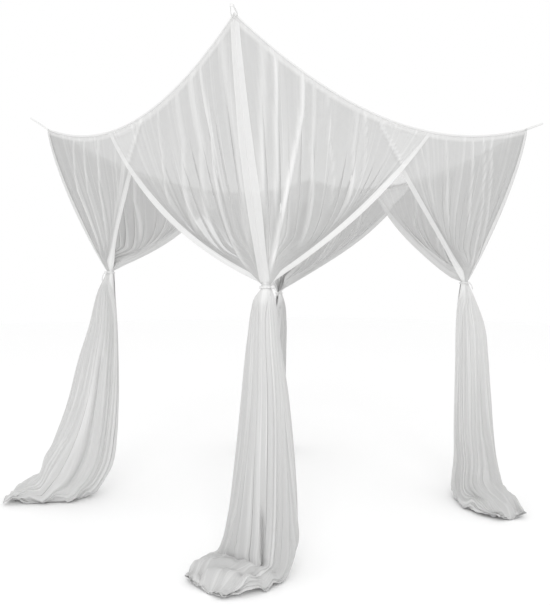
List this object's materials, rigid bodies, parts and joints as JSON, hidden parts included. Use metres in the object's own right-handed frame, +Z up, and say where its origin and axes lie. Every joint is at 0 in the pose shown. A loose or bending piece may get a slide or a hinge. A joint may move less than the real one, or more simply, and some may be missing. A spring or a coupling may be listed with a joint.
{
  "type": "mosquito net canopy",
  "caption": "White sheer mosquito net canopy for a double bed: a sagging roof panel and four corner curtains, each drawn in by a tie and falling to the floor, hung by ribbon loops.",
  "frame": {"origin": "middle of the box round the hung net, on the floor that the curtains reach", "axes": "+Z up, +X along the long sides of the net, +Y along the short sides; the camera of the picture stands on the -X -Y side"},
  "size_m": [2.3634, 2.1822, 2.1345],
  "materials": {
    "net": "sheer knitted net, matte",
    "tape": "woven ribbon and folded tape, matte"
  },
  "bodies": {
    "root": {"roof_panel": "net", "edge_binding": "tape", "curtain_front_left": "net", "corner_tape_front_left": "tape", "tie_front_left": "tape", "hanging_loop_front_left": "tape", "curtain_front_right": "net", "corner_tape_front_right": "tape", "tie_front_right": "tape", "hanging_loop_front_right": "tape", "curtain_back_right": "net", "corner_tape_back_right": "tape", "tie_back_right": "tape", "hanging_loop_back_right": "tape", "curtain_back_left": "net", "corner_tape_back_left": "tape", "tie_back_left": "tape", "hanging_loop_back_left": "tape"}
  },
  "joints": []
}
